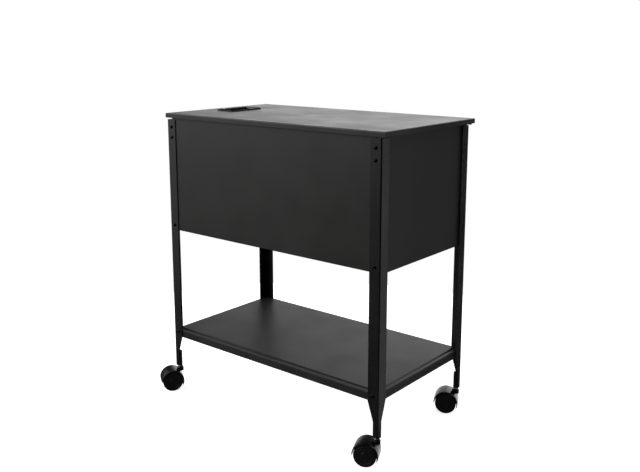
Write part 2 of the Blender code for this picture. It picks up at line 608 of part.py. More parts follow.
def make_caster(corner, sx, sy):
    axis = bpy.data.objects.new(f"caster_axis_{corner}", None)
    bpy.context.scene.collection.objects.link(axis)
    axis.location = (sx * (HALF_LENGTH - STEM_INSET), sy * (HALF_DEPTH - STEM_INSET), 0)
    axis.rotation_euler.z = math.radians(CASTER_HEADING[corner])

    fender_inner = WHEEL_RADIUS + HOOD_CLEARANCE
    fender_outer = math.sqrt(fender_inner ** 2 + HOOD_RISE ** 2
                             + 2 * HOOD_RISE * HOOD_TIP_DROP)
    tip = Vector((math.sqrt(fender_inner ** 2 - HOOD_TIP_DROP ** 2), -HOOD_TIP_DROP))
    lean = Matrix.Rotation(HOOD_LEAN, 2)

    def placed(points):
        leaned = [lean @ p for p in points]
        return [(TRAIL + p.x, WHEEL_RADIUS + p.y) for p in leaned]
    crescent = (hood_arc(fender_outer, HOOD_RISE, tip, 16)
                + hood_arc(fender_inner, 0, tip, 14, backwards=True)[1:-1])
    half_width = WEB_HALF + WHEEL_SIDE_GAP + WHEEL_WIDTH + HOOD_OVER_WHEEL
    hood = add_object(f"caster_hood_{corner}",
                      prism(placed(crescent), "Y", -half_width, half_width),
                      BLACK_PLASTIC, axis)
    web = hood_arc(fender_outer - WEB_UNDER_FENDER, HOOD_RISE, tip, 12)
    web += [Vector((x, -WEB_BELOW_AXLE)) for x in (-WEB_HALF_FOOT, WEB_HALF_FOOT)]
    web = add_object(f"caster_web_{corner}", prism(placed(web), "Y", -WEB_HALF, WEB_HALF),
                     BLACK_PLASTIC, axis, guide=True)
    boss_low = HOOD_TOP - STEM_BOSS_HEIGHT
    boss = turned([(0, boss_low), (STEM_BOSS_RADIUS, boss_low),
                   (STEM_BOSS_RADIUS, HOOD_TOP - BOSS_CHAMFER),
                   (STEM_BOSS_RADIUS - BOSS_CHAMFER, HOOD_TOP), (0, HOOD_TOP)],
                  (0, 0, 0), (0, 0, 1), 16)
    boss = add_object(f"caster_boss_{corner}", boss, BLACK_PLASTIC, axis, guide=True)
    axle_hole = AXLE_RADIUS + GAP
    holes = joined([
        turned([(0, boss_low), (STEM_HOLE, boss_low), (STEM_HOLE, LEG_TOP), (0, LEG_TOP)],
               (0, 0, 0), (0, 0, 1), 12),
        turned([(0, -half_width), (axle_hole, -half_width), (axle_hole, half_width),
                (0, half_width)], (TRAIL, 0, WHEEL_RADIUS), (0, 1, 0), 12)])
    holes = add_object(f"caster_holes_{corner}", holes, BLACK_PLASTIC, axis, guide=True)
    boolean(hood, web, "UNION")
    boolean(hood, boss, "UNION")
    boolean(hood, holes)

    axle_end = half_width - AXLE_END_COVER
    add_object(f"caster_axle_{corner}",
               turned([(0, -axle_end), (AXLE_RADIUS, -axle_end), (AXLE_RADIUS, axle_end),
                       (0, axle_end)], (TRAIL, 0, WHEEL_RADIUS), (0, 1, 0), 12),
               ZINC, axis)

    inside = WEB_HALF + WHEEL_SIDE_GAP
    outside = inside + WHEEL_WIDTH
    bore_end = axle_end + WHEEL_SIDE_GAP
    profile = [(axle_hole, inside), (WHEEL_RADIUS - TREAD_ROUND, inside),
               (WHEEL_RADIUS, inside + TREAD_ROUND), (WHEEL_RADIUS, outside - WHEEL_SHOULDER),
               (WHEEL_RADIUS - WHEEL_SHOULDER / 2, outside - WHEEL_SHOULDER / 4),
               (WHEEL_RADIUS - WHEEL_SHOULDER * 1.5, outside),
               (0, outside - WHEEL_SIDE_GAP), (0, bore_end), (axle_hole, bore_end)]
    for name, way in (("a", -1), ("b", 1)):
        bm = turned(profile, (TRAIL, 0, WHEEL_RADIUS), (0, way, 0), 28)
        add_object(f"wheel_{corner}_{name}", bm, BLACK_PLASTIC, axis)

    collar_low = HOOD_TOP + GAP
    collar_high = FOOT_BOTTOM - GAP
    collar_radius = STEM_RADIUS + COLLAR_WIDTH
    stem_low = boss_low + BOSS_CHAMFER
    stem_top = FOOT_BOTTOM + STEM_LENGTH
    profile = [(0, stem_low), (STEM_RADIUS, stem_low), (STEM_RADIUS, collar_low),
               (collar_radius, collar_low), (collar_radius, collar_high),
               (STEM_RADIUS, collar_high), (STEM_RADIUS, stem_top - STEM_CHAMFER),
               (STEM_RADIUS - STEM_CHAMFER, stem_top), (0, stem_top)]
    add_object(f"caster_stem_{corner}", turned(profile, (0, 0, 0), (0, 0, 1), 12), ZINC,
               axis)
    profile = [(STEM_HOLE, FOOT_BOTTOM), (SOCKET_RADIUS, FOOT_BOTTOM),
               (SOCKET_RADIUS, FOOT_BOTTOM + SOCKET_LENGTH),
               (STEM_HOLE, FOOT_BOTTOM + SOCKET_LENGTH)]
    add_object(f"stem_socket_{corner}", turned(profile, (0, 0, 0), (0, 0, 1), 16),
               BLACK_PLASTIC, axis)


# ---------------------------------------------------------------- the whole cart
def build_cart():
    notches = corner_notches()
    panels = {side: make_long_panel(side, sy) for side, sy in SIDES.items()}
    ends = [make_end_panel("left", -1), make_end_panel("right", 1)]
    for panel in list(panels.values()) + ends:
        boolean(panel, notches)
    make_tub_floor()
    shelf = make_shelf()
    brackets = {side: make_pivot(side, sy) for side, sy in SIDES.items()}
    for corner, (sx, sy) in CORNERS.items():
        holes = make_screws(corner, sx, sy)
        side = "front" if sy < 0 else "back"
        boolean(make_leg(corner, sx, sy), holes)
        boolean(panels[side], holes)
        boolean(shelf, holes)
        if sx > 0:
            boolean(brackets[side], holes)
        make_caster(corner, sx, sy)
    for side, sy in SIDES.items():
        make_file_rail(side, sy)
        make_slide_block(side, sy)
        make_track(side, sy)
    make_lid()
    make_handle_cup()
    make_lock()
    make_strike()


def centre_on_floor():
    """Hang everything on one empty and move it to the middle of its own bounds."""
    frame = bpy.data.objects.new("cart_frame", None)
    bpy.context.scene.collection.objects.link(frame)
    for item in list(bpy.data.objects):
        if item is not frame and item.parent is None:
            item.parent = frame
    bpy.context.view_layer.update()
    graph = bpy.context.evaluated_depsgraph_get()
    low = Vector((math.inf,) * 3)
    high = -low
    for item in bpy.data.objects:
        if item.type != "MESH" or item.hide_render:
            continue
        solid = item.evaluated_get(graph)
        for vert in solid.data.vertices:
            place = item.matrix_world @ vert.co
            low = Vector(map(min, low, place))
            high = Vector(map(max, high, place))
    middle = (low + high) / 2
    frame.location = (-round(middle.x, 4), -round(middle.y, 4), 0)
    bpy.context.view_layer.update()
    print("frame moved to", tuple(round(v, 4) for v in frame.location), "size",
          tuple(round(v, 4) for v in high - low), "floor", round(low.z, 6))


build_cart()
centre_on_floor()
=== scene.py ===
"""Looks of the rolling steel file cart: finishes, fine pieces, light, floor and camera."""
import json
import math

import bmesh
import bpy
from mathutils import Matrix, Vector


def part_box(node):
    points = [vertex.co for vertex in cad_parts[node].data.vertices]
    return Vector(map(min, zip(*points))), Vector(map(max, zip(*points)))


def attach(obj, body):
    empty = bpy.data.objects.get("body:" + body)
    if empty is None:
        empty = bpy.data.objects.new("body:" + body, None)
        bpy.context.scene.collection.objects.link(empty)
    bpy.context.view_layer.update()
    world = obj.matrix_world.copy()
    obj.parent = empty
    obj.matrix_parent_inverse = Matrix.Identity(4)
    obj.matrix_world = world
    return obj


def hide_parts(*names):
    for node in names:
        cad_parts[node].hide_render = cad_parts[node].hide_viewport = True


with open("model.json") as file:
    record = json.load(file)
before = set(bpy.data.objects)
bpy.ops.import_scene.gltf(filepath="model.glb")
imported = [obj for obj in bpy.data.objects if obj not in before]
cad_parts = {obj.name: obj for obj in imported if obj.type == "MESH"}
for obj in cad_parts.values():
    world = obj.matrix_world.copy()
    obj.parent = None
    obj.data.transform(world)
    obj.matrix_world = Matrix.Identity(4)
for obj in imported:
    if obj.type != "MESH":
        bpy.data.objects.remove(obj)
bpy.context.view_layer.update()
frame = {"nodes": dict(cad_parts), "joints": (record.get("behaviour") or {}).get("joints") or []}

MM = 0.001
SEAT_GAP = 0.3 * MM             # the frame's clearance between pieces that seat
nodes = frame["nodes"]
joints = {joint["name"]: joint for joint in frame["joints"]}
CORNERS = ("front_left", "front_right", "back_left", "back_right")
WHEEL_SIDES = ("a", "b")


# ------------------------------------------------------------------ finishes
def srgb(hex_colour):
    """A hex colour as linear red, green, blue and alpha."""
    channels = [int(hex_colour[i:i + 2], 16) / 255 for i in (1, 3, 5)]
    linear = [c / 12.92 if c <= 0.04045 else ((c + 0.055) / 1.055) ** 2.4 for c in channels]
    return (*linear, 1.0)


def add(tree, kind, inputs=None, **settings):
    """Adds a node; inputs maps its sockets to values or to other nodes' outputs."""
    made = tree.nodes.new("ShaderNode" + kind)
    for name, value in settings.items():
        setattr(made, name, value)
    for name, value in (inputs or {}).items():
        if isinstance(value, bpy.types.NodeSocket):
            tree.links.new(value, made.inputs[name])
        else:
            made.inputs[name].default_value = value
    return made


def blank(name):
    material = bpy.data.materials.new(name)
    material.use_nodes = True
    tree = material.node_tree
    tree.nodes.clear()
    return material, tree


def finish_with(tree, shader):
    tree.links.new(shader.outputs["BSDF"],
                   add(tree, "OutputMaterial").inputs["Surface"])


def powder_coat(name, dark, light, low_gloss, high_gloss, peel_height, shine):
    """Satin black polyester powder, baked on sheet steel.

    It has an orange peel of about 1 mm, which the render can't resolve, so the peel is
    drawn at 3 mm with a finer grit of 0.9 mm on it. The film's thickness drifts over
    some 90 mm, which shows as a slow change of gloss and depth of black.
    """
    material, tree = blank(name)
    place = add(tree, "TexCoord").outputs["Object"]
    drift = add(tree, "TexNoise", {"Vector": place, "Scale": 1 / (90 * MM), "Detail": 2.0})
    grit = add(tree, "TexNoise", {"Vector": place, "Scale": 1 / (0.9 * MM), "Detail": 3.0,
                                  "Roughness": 0.6})
    peel = add(tree, "TexNoise", {"Vector": place, "Scale": 1 / (3.0 * MM), "Detail": 1.0})
    colour = add(tree, "ValToRGB", {"Fac": drift.outputs["Fac"]})
    colour.color_ramp.elements[0].color = srgb(dark)
    colour.color_ramp.elements[0].position = 0.35
    colour.color_ramp.elements[1].color = srgb(light)
    colour.color_ramp.elements[1].position = 0.68
    gloss = add(tree, "MapRange", {"Value": drift.outputs["Fac"], "From Min": 0.3,
                                   "From Max": 0.7, "To Min": low_gloss,
                                   "To Max": high_gloss})
    speckle = add(tree, "Math", {0: grit.outputs["Fac"], 1: 0.10, 2: -0.05},
                  operation="MULTIPLY_ADD")
    roughness = add(tree, "Math", {0: gloss.outputs["Result"], 1: speckle.outputs["Value"]})
    soft = add(tree, "Bump", {"Height": peel.outputs["Fac"], "Strength": 0.5,
                              "Distance": peel_height})
    fine = add(tree, "Bump", {"Height": grit.outputs["Fac"], "Strength": 0.5,
                              "Distance": peel_height * 0.4, "Normal": soft.outputs["Normal"]})
    finish_with(tree, add(tree, "BsdfPrincipled", {
        "Base Color": colour.outputs["Color"], "Roughness": roughness.outputs["Value"],
        "Normal": fine.outputs["Normal"], "IOR": 1.5, "Specular IOR Level": shine}))
    return material


def moulded_plastic(name, dark, light, roughness, grain, shine=0.5):
    """Black plastic out of a spark-eroded mould: a close, even grain that softens light.

    The real pits are about 0.1 mm across. They are drawn at 0.7 to 1.1 mm to show.
    """
    material, tree = blank(name)
    place = add(tree, "TexCoord").outputs["Object"]
    pits = add(tree, "TexVoronoi", {"Vector": place, "Scale": 1 / grain})
    cloud = add(tree, "TexNoise", {"Vector": place, "Scale": 1 / (14 * MM), "Detail": 3.0})
    colour = add(tree, "Mix", {"Factor": cloud.outputs["Fac"], "A": srgb(dark),
                               "B": srgb(light)}, data_type="RGBA")
    gloss = add(tree, "MapRange", {"Value": cloud.outputs["Fac"], "From Min": 0.3,
                                   "From Max": 0.7, "To Min": roughness - 0.05,
                                   "To Max": roughness + 0.06})
    bump = add(tree, "Bump", {"Height": pits.outputs["Distance"], "Strength": 0.35,
                              "Distance": 0.03 * MM})
    finish_with(tree, add(tree, "BsdfPrincipled", {
        "Base Color": colour.outputs["Result"], "Roughness": gloss.outputs["Result"],
        "Normal": bump.outputs["Normal"], "IOR": 1.5, "Specular IOR Level": shine}))
    return material


def plated_metal(name, dark, light, low_gloss, high_gloss, spangle, scratch_depth):
    """Plated steel or zinc: metal whose tone varies from crystal to crystal, and whose
    gloss is broken by rubbing. The crystals are drawn some ten times their real size."""
    material, tree = blank(name)
    place = add(tree, "TexCoord").outputs["Object"]
    crystals = add(tree, "TexVoronoi", {"Vector": place, "Scale": 1 / spangle})
    rubbed = add(tree, "TexNoise", {"Vector": place, "Scale": 1 / (0.8 * MM), "Detail": 4.0,
                                    "Roughness": 0.65})
    shade = add(tree, "SeparateColor", {"Color": crystals.outputs["Color"]})
    colour = add(tree, "Mix", {"Factor": shade.outputs["Red"], "A": srgb(dark),
                               "B": srgb(light)}, data_type="RGBA")
    gloss = add(tree, "MapRange", {"Value": rubbed.outputs["Fac"], "From Min": 0.3,
                                   "From Max": 0.7, "To Min": low_gloss,
                                   "To Max": high_gloss})
    bump = add(tree, "Bump", {"Height": rubbed.outputs["Fac"], "Strength": 0.3,
                              "Distance": scratch_depth})
    finish_with(tree, add(tree, "BsdfPrincipled", {
        "Base Color": colour.outputs["Result"], "Metallic": 1.0,
        "Roughness": gloss.outputs["Result"], "Normal": bump.outputs["Normal"]}))
    return material


# one black powder throughout: satin on the wide panels, where it lies thickest, a little
# glossier on the lid, and smoothest and deepest black on the bent legs
PANEL_COAT = powder_coat("satin_black_powder_coat_on_panels", "#131312", "#191918",
                         0.42, 0.49, 0.05 * MM, 0.34)
LEG_COAT = powder_coat("black_powder_coat_on_legs", "#0C0C0C", "#101010",
                       0.22, 0.29, 0.04 * MM, 0.38)
LID_COAT = powder_coat("satin_black_powder_coat_on_lid", "#131313", "#191919",
                       0.34, 0.42, 0.05 * MM, 0.36)
# caster nylon is nearly black with a broad shine, and the tread is duller and greyer
HOOD_PLASTIC = moulded_plastic("moulded_black_nylon_hood", "#050505", "#090909", 0.24,
                               0.8 * MM, 0.22)
WHEEL_PLASTIC = moulded_plastic("moulded_black_nylon_wheel", "#0B0B0B", "#101010", 0.34,
                                0.7 * MM, 0.20)
TREAD_RUBBER = moulded_plastic("black_polyurethane_tread", "#0B0B0B", "#111111", 0.5,
                               1.1 * MM, 0.22)
# the handle's pocket is glossy ABS, its bezel has a matt grain
CUP_PLASTIC = moulded_plastic("moulded_black_abs_handle", "#0A0A0A", "#0F0F0F", 0.30,
                              0.9 * MM, 0.5)
BEZEL_PLASTIC = moulded_plastic("matt_black_abs_bezel", "#080808", "#0C0C0C", 0.38,
                                0.9 * MM, 0.12)
# undyed slide blocks, milky and slightly warm
NYLON = moulded_plastic("natural_nylon", "#CFCAB8", "#DAD6C6", 0.45, 0.8 * MM)
# chrome mirrors its surroundings, zinc is greyer and softer, black oxide only glints
CHROME = plated_metal("bright_chrome_plate", "#D6D7D9", "#E2E3E5", 0.05, 0.12, 3 * MM,
                      0.01 * MM)
ZINC = plated_metal("bright_zinc_plate", "#A9ABAD", "#C4C6C8", 0.22, 0.38, 1.6 * MM,
                    0.02 * MM)
BLACK_OXIDE = plated_metal("black_oxide_on_screws", "#161617", "#232324", 0.30, 0.45,
                           1.2 * MM, 0.02 * MM)


# ------------------------------------------------------------------ mesh helpers
def make_piece(name, bm, material, body, replaced=(), smooth=32):
    """Turns a bmesh into a piece on a body, with its finish."""
    mesh = bpy.data.meshes.new(name)
    bm.to_mesh(mesh)
    bm.free()
    mesh.materials.append(material)
    mesh.shade_smooth()
    mesh.set_sharp_from_angle(angle=math.radians(smooth))
    piece = bpy.data.objects.new(name, mesh)
    bpy.context.scene.collection.objects.link(piece)
    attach(piece, body)
    if replaced:
        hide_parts(*replaced)
    return piece


def turn_profile(profile, steps):
    """Spins (radius, height) points about Z into a closed shell."""
    bm = bmesh.new()
    verts = [bm.verts.new((r, 0, z)) for r, z in profile]
    edges = [bm.edges.new(pair) for pair in zip(verts, verts[1:])]
    bmesh.ops.spin(bm, geom=verts + edges, cent=(0, 0, 0), axis=(0, 0, 1), angle=math.tau,
                   steps=steps, use_merge=True)
    bmesh.ops.remove_doubles(bm, verts=bm.verts, dist=0.001 * MM)
    bmesh.ops.recalc_face_normals(bm, faces=bm.faces)
    return bm


def arc(centre, radius, start, end, steps):
    """Points (radius, height) on a quarter or any other stretch of a circle, in degrees."""
    angles = [math.radians(start + (end - start) * k / steps) for k in range(steps + 1)]
    return [(centre[0] + radius * math.cos(a), centre[1] + radius * math.sin(a))
            for a in angles]


def stand_on(bm, place, up):
    """Moves a shell made about Z so that it stands at place with its Z along up."""
    turn = Vector((0, 0, 1)).rotation_difference(Vector(up)).to_matrix().to_4x4()
    bmesh.ops.transform(bm, matrix=Matrix.Translation(place) @ turn, verts=bm.verts)
    return bm


def carve(bm, tools, operation="DIFFERENCE"):
    """Cuts (or adds) tool shells from (or to) a shell and returns the new one."""
    def loose(name, source):
        mesh = bpy.data.meshes.new(name)
        source.to_mesh(mesh)
        source.free()
        item = bpy.data.objects.new(name, mesh)
        bpy.context.scene.collection.objects.link(item)
        return item
    work = loose("work", bm)
    helpers = [loose("tool", tool) for tool in tools]
    for helper in helpers:
        step = work.modifiers.new("carve", "BOOLEAN")
        step.operation = operation
        step.object = helper
    graph = bpy.context.evaluated_depsgraph_get()
    result = bmesh.new()
    result.from_object(work, graph)
    for item in [work] + helpers:
        mesh = item.data
        bpy.data.objects.remove(item)
        bpy.data.meshes.remove(mesh)
    return result


def slab(size, centre, turn=0.0):
    bm = bmesh.new()
    bmesh.ops.create_cube(bm, size=1.0)
    bmesh.ops.scale(bm, vec=size, verts=bm.verts)
    bmesh.ops.rotate(bm, cent=(0, 0, 0), matrix=Matrix.Rotation(turn, 3, "Z"),
                     verts=bm.verts)
    bmesh.ops.translate(bm, vec=centre, verts=bm.verts)
    return bm


# ------------------------------------------------------------------ finishes of CAD nodes
def coat_cad_nodes():
    finishes = [(("leg_",), LEG_COAT),
                (("lid_panel",), LID_COAT),
                (("screw_", "pivot_pin"), BLACK_OXIDE),
                (("handle_cup", "stem_socket"), CUP_PLASTIC),
                (("caster_hood",), HOOD_PLASTIC),
                (("wheel_",), WHEEL_PLASTIC),
                (("slide_block",), NYLON),
                (("lock_housing", "lock_plug"), CHROME),
                (("lock_", "lid_track", "caster_axle", "caster_stem"), ZINC)]
    for name, item in nodes.items():
        material = next((m for starts, m in finishes if name.startswith(starts)), PANEL_COAT)
        item.data.materials.clear()
        item.data.materials.append(material)


# ------------------------------------------------------------------ screws
SCREW_HEAD_RADIUS = 4.2 * MM
SCREW_HEAD_HEIGHT = 2.2 * MM
SCREW_SHANK_RADIUS = 2.0 * MM
SCREW_SHANK_LENGTH = 7.0 * MM
SCREW_POINT_TAPER = 0.4 * MM
RECESS_ARM = (3.9 * MM, 0.85 * MM, 2.6 * MM)
UPPER_SCREW_SPACING = 25 * MM
TUB_SCREW_UP = 13 * MM          # above the tub's lower edge


def pan_head_screw():
    """A pan head with a cross recess, standing on Z = 0."""
    radius, height = SCREW_HEAD_RADIUS, SCREW_HEAD_HEIGHT
    shank, length = SCREW_SHANK_RADIUS, SCREW_SHANK_LENGTH
    crown = 1.5 * MM
    edge = 0.5 * MM
    foot = 0.1 * MM
    profile = [(0, height), *arc((radius - 2.4 * MM, height - crown), crown, 90, 40, 5),
               *arc((radius - edge, 0.7 * MM), edge, 40, 0, 3),
               (radius, foot), (radius - foot, 0), (shank, 0),
               (shank, SCREW_POINT_TAPER - length), (shank - SCREW_POINT_TAPER, -length),
               (0, -length)]
    cross = [slab(RECESS_ARM, (0, 0, height), turn) for turn in (0, math.pi / 2)]
    return carve(turn_profile(profile, 32), cross)


def fit_screws():
    """Every leg has four screws on its long side: two above, one low, one in the shelf."""
    master = pan_head_screw()
    pattern = bpy.data.meshes.new("screw_pattern")
    master.to_mesh(pattern)
    master.free()
    tub_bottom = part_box("front_panel")[0].z
    for corner in CORNERS:
        side = -1 if corner.startswith("front") else 1
        low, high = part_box(f"leg_{corner}")
        face = (low if side < 0 else high).y + SEAT_GAP * side
        upper_low, upper_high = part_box(f"screw_{corner}_upper")
        shelf_low, shelf_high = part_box(f"screw_{corner}_shelf")
        x = (upper_low.x + upper_high.x) / 2
        upper = (upper_low.z + upper_high.z) / 2
        places = {"upper": (upper, [f"screw_{corner}_upper"]),
                  "second": (upper - UPPER_SCREW_SPACING, []),
                  "tub": (tub_bottom + TUB_SCREW_UP, []),
                  "shelf": ((shelf_low.z + shelf_high.z) / 2, [f"screw_{corner}_shelf"])}
        for count, (place, (z, replaced)) in enumerate(places.items()):
            bm = bmesh.new()
            bm.from_mesh(pattern)
            turn = Matrix.Rotation(math.radians(17 + 31 * count), 3, "Z")    # as driven
            bmesh.ops.rotate(bm, cent=(0, 0, 0), matrix=turn, verts=bm.verts)
            stand_on(bm, (x, face, z), (0, side, 0))
            make_piece(f"leg_screw_{corner}_{place}", bm, BLACK_OXIDE, "cart",
                       replaced)
    bpy.data.meshes.remove(pattern)


# ------------------------------------------------------------------ handle and lock
def rounded_ring(low, high, inset, radius, z):
    """Points round a rectangle with rounded corners; inset is left, right, front, back."""
    x = (low.x + inset[0] + radius, high.x - inset[1] - radius)
    y = (low.y + inset[2] + radius, high.y - inset[3] - radius)
    ring = []
    for quarter, (cx, cy) in enumerate(((x[1], y[1]), (x[0], y[1]), (x[0], y[0]),
                                        (x[1], y[0]))):
        ring += [Vector((px, py, z)) for px, py in
                 arc((cx, cy), radius, 90 * quarter, 90 * quarter + 90, 6)]
    return ring


def stack_rings(rings):
    """Joins rings of equally many points into a closed shell with flat ends."""
    bm = bmesh.new()
    rows = [[bm.verts.new(p) for p in ring] for ring in rings]
    count = len(rows[0])
    for lower, upper in zip(rows, rows[1:]):
        for k in range(count):
            n = (k + 1) % count
            bm.faces.new((lower[k], lower[n], upper[n], upper[k]))
    bm.faces.new(rows[0][::-1])
    bm.faces.new(rows[-1])
    bmesh.ops.recalc_face_normals(bm, faces=bm.faces)
    return bm


BEZEL_WIDTH = 4.6 * MM
BEZEL_EXTRA_RISE = 1.4 * MM     # the bead stands this far above the frame's flat bezel
POCKET_WALL = 1.5 * MM
POCKET_SLOPE = 20 * MM


def mould_handle_cup():
    """The recessed pull: a beaded bezel round a deep pocket with one sloping side."""
    low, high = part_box("handle_cup")
    lid_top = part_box("lid_panel")[1].z + SEAT_GAP
    top = high.z + BEZEL_EXTRA_RISE
    rim = BEZEL_WIDTH
    skirt = rim - 0.1 * MM
    under_sheet = lid_top - 2.2 * MM

    def ring(inset, radius, z, right=0.0):
        return rounded_ring(low, high, (inset, inset + right, inset, inset), radius, z)
    bm = stack_rings([
        ring(skirt + 1.0 * MM, 1.2 * MM, low.z, POCKET_SLOPE),
        ring(skirt, 2.0 * MM, under_sheet),
        ring(skirt, 2.0 * MM, lid_top),
        ring(0, 5.0 * MM, lid_top),
        ring(0, 5.0 * MM, top - 1.9 * MM),
        ring(0.3 * MM, 4.7 * MM, top - 1.0 * MM),
        ring(1.0 * MM, 4.0 * MM, top - 0.35 * MM),
        ring(2.1 * MM, 2.9 * MM, top),
        ring(rim - 1.7 * MM, 2.2 * MM, top - 0.1 * MM),
        ring(rim - 0.6 * MM, 1.6 * MM, top - 0.7 * MM),
        ring(rim, 1.4 * MM, top - 1.7 * MM),
        ring(rim, 1.4 * MM, under_sheet),
        ring(rim + 1.0 * MM, 1.0 * MM, low.z + POCKET_WALL, POCKET_SLOPE)])
    cup = make_piece("recessed_handle", bm, CUP_PLASTIC, "lid",
                     ["handle_cup"])
    cup.data.materials.append(BEZEL_PLASTIC)
    for face in cup.data.polygons:      # the bezel is what shows above the lid
        if face.center.z > lid_top + 0.05 * MM:
            face.material_index = 1


LOCK_BORE = 6.25 * MM
LOCK_BARREL_RADIUS = 9.0 * MM
PLUG_RADIUS = 6.0 * MM
PLUG_TAIL_RADIUS = 3.0 * MM
KEYWAY = (1.2 * MM, 7.4 * MM, 6 * MM)
KEYWAY_WARD = (2.4 * MM, 1.4 * MM, 6 * MM)


def turn_lock():
    """Chrome housing with a domed rim, and a domed plug with a keyway."""
    low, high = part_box("lock_housing")
    centre = (low + high) / 2
    lid_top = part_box("lid_panel")[1].z + SEAT_GAP
    rim = (high.x - low.x) / 2
    bore, body = LOCK_BORE, LOCK_BARREL_RADIUS
    rise = high.z - lid_top
    profile = [(bore, low.z - lid_top), (body, low.z - lid_top), (body, 0), (rim, 0),
               (rim - 0.1 * MM, 0.35 * rise), (rim - 0.4 * MM, 0.68 * rise),
               (rim - 1.0 * MM, 0.92 * rise), (rim - 1.7 * MM, rise),
               (bore + 1.5 * MM, 0.94 * rise), (bore + 0.6 * MM, 0.76 * rise),
               (bore, 0.5 * rise), (bore, low.z - lid_top)]
    bm = stand_on(turn_profile(profile, 64), (centre.x, centre.y, lid_top), (0, 0, 1))
    make_piece("lock_bezel_and_barrel", bm, CHROME, "lid",
               ["lock_housing"])

    plug_low, plug_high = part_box("lock_plug")
    shoulder = low.z - SEAT_GAP - lid_top
    top = plug_high.z - lid_top
    tail = plug_low.z - lid_top
    profile = [(0, tail), (PLUG_TAIL_RADIUS, tail), (PLUG_TAIL_RADIUS, shoulder),
               (PLUG_RADIUS, shoulder),
               (5.9 * MM, top - 0.9 * MM), (5.0 * MM, top - 0.55 * MM),
               (3.6 * MM, top - 0.25 * MM), (1.8 * MM, top - 0.06 * MM), (0, top)]
    plug = turn_profile(profile, 64)
    keyway = [slab(KEYWAY, (0, 0, top)),
              slab(KEYWAY_WARD, (0.5 * MM, 1.9 * MM, top))]
    bm = stand_on(carve(plug, keyway), (centre.x, centre.y, lid_top), (0, 0, 1))
    make_piece("lock_plug_with_keyway", bm, CHROME, "lock_core",
               ["lock_plug"])


# ------------------------------------------------------------------ casters
WHEEL_RADIUS = 25 * MM
WHEEL_INNER_FACE = 4.5 * MM     # from the caster's middle
WHEEL_OUTER_FACE = 21.5 * MM
TREAD_SHOULDER = 2.6 * MM
AXLE_RADIUS = 2.8 * MM
STEM_RADIUS = 4.0 * MM
COLLAR_RADIUS = 6.5 * MM
HOOD_HALF_WIDTH = 22.3 * MM
HOOD_OVER_WHEEL = 1.3 * MM      # from the tread to the hood's inside
HOOD_OUTSIDE = 4.3 * MM         # from the tread to the hood's outside
HOOD_PEAK = 1.0 * MM            # thicker by this at the top
HORN_DROP = 6.5 * MM            # the horns' tips below the hub
HORN_FLARE = 1.1 * MM
HORN_STRETCH = 0.42             # radians of the hood that taper into a horn
HORN_TIP = 0.25 * MM
HOOD_LEAN = math.radians(-10)
HOOD_HEADROOM = 7 * MM          # from the wheel's top to the boss's top
WEB_HALF_WIDTH = 4 * MM
BOSS_RADIUS = 8.5 * MM
BOSS_DEPTH = 9.5 * MM
BOSS_EDGE = 2.2 * MM


def mould_wheels(corner):
    """Two nylon wheels, each with a softer tread, a dished face and a hub cap."""
    for side in WHEEL_SIDES:
        spin = joints[f"wheel_{corner}_{side}_spin"]
        low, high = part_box(f"wheel_{corner}_{side}")
        hub = Vector(spin["pos_m"])
        axis = Vector(spin["axis"])
        outward = axis if ((low + high) / 2 - hub).dot(axis) > 0 else -axis
        inside, outside = WHEEL_INNER_FACE, WHEEL_OUTER_FACE
        bore, edge = AXLE_RADIUS, TREAD_SHOULDER
        rim_profile = [
            (bore, inside), (WHEEL_RADIUS - 5.0 * MM, inside),
            (WHEEL_RADIUS - 4.2 * MM, inside + 1.0 * MM),
            (WHEEL_RADIUS - 4.2 * MM, outside - 1.6 * MM),
            *arc((WHEEL_RADIUS - 4.9 * MM, outside - 0.8 * MM), 0.7 * MM, 0, 90, 4),
            (WHEEL_RADIUS - 7.4 * MM, outside - 0.15 * MM),
            (WHEEL_RADIUS - 8.0 * MM, outside - 0.9 * MM), (9.2 * MM, outside - 1.3 * MM),
            (8.6 * MM, outside - 0.5 * MM),
            *arc((7.6 * MM, outside - 1.0 * MM), 0.9 * MM, 30, 90, 4),
            (4.0 * MM, outside + 0.05 * MM), (0, outside + 0.1 * MM),
            (0, outside - 3.6 * MM), (bore, outside - 3.6 * MM), (bore, inside)]
        tread_profile = [
            (WHEEL_RADIUS - 4.1 * MM, inside + 0.9 * MM), (WHEEL_RADIUS - edge, inside),
            *arc((WHEEL_RADIUS - edge, inside + edge), edge, -90, 0, 5),
            *arc((WHEEL_RADIUS - edge, outside - edge - 0.4 * MM), edge, 0, 90, 6),
            (WHEEL_RADIUS - 3.6 * MM, outside - 0.5 * MM),
            (WHEEL_RADIUS - 4.1 * MM, outside - 1.2 * MM),
            (WHEEL_RADIUS - 4.1 * MM, inside + 0.9 * MM)]
        body = f"wheel_{corner}_{side}"
        bm = stand_on(turn_profile(rim_profile, 72), hub, outward)
        make_piece(f"wheel_core_{corner}_{side}", bm, WHEEL_PLASTIC, body,
                   [body])
        bm = stand_on(turn_profile(tread_profile, 72), hub, outward)
        make_piece(f"wheel_tread_{corner}_{side}", bm, TREAD_RUBBER, body)


def horned_crescent(reach, rise, outer, horn, steps):
    """The fender's side outline: an inner arc close over the wheel, an outer arc, and a
    horn at each end that flares outward to a point. Returns outer and inner points."""
    start = math.asin(-horn / reach)
    turns = [start + (math.pi - 2 * start) * k / steps for k in range(steps + 1)]
    inner_line, outer_line = [], []
    for turn in turns:
        way = Vector((math.cos(turn), 0, math.sin(turn)))
        from_tip = min(turn - start, math.pi - start - turn)
        near_tip = 1 - min(1, from_tip / HORN_STRETCH)
        flare = HORN_FLARE * near_tip ** 2
        inner_line.append(way * (reach + flare))
        thick = (outer - reach + rise * max(0, way.z)) * (1 - near_tip ** 3)
        outer_line.append(way * (reach + flare + max(thick, HORN_TIP)))
    return outer_line, inner_line


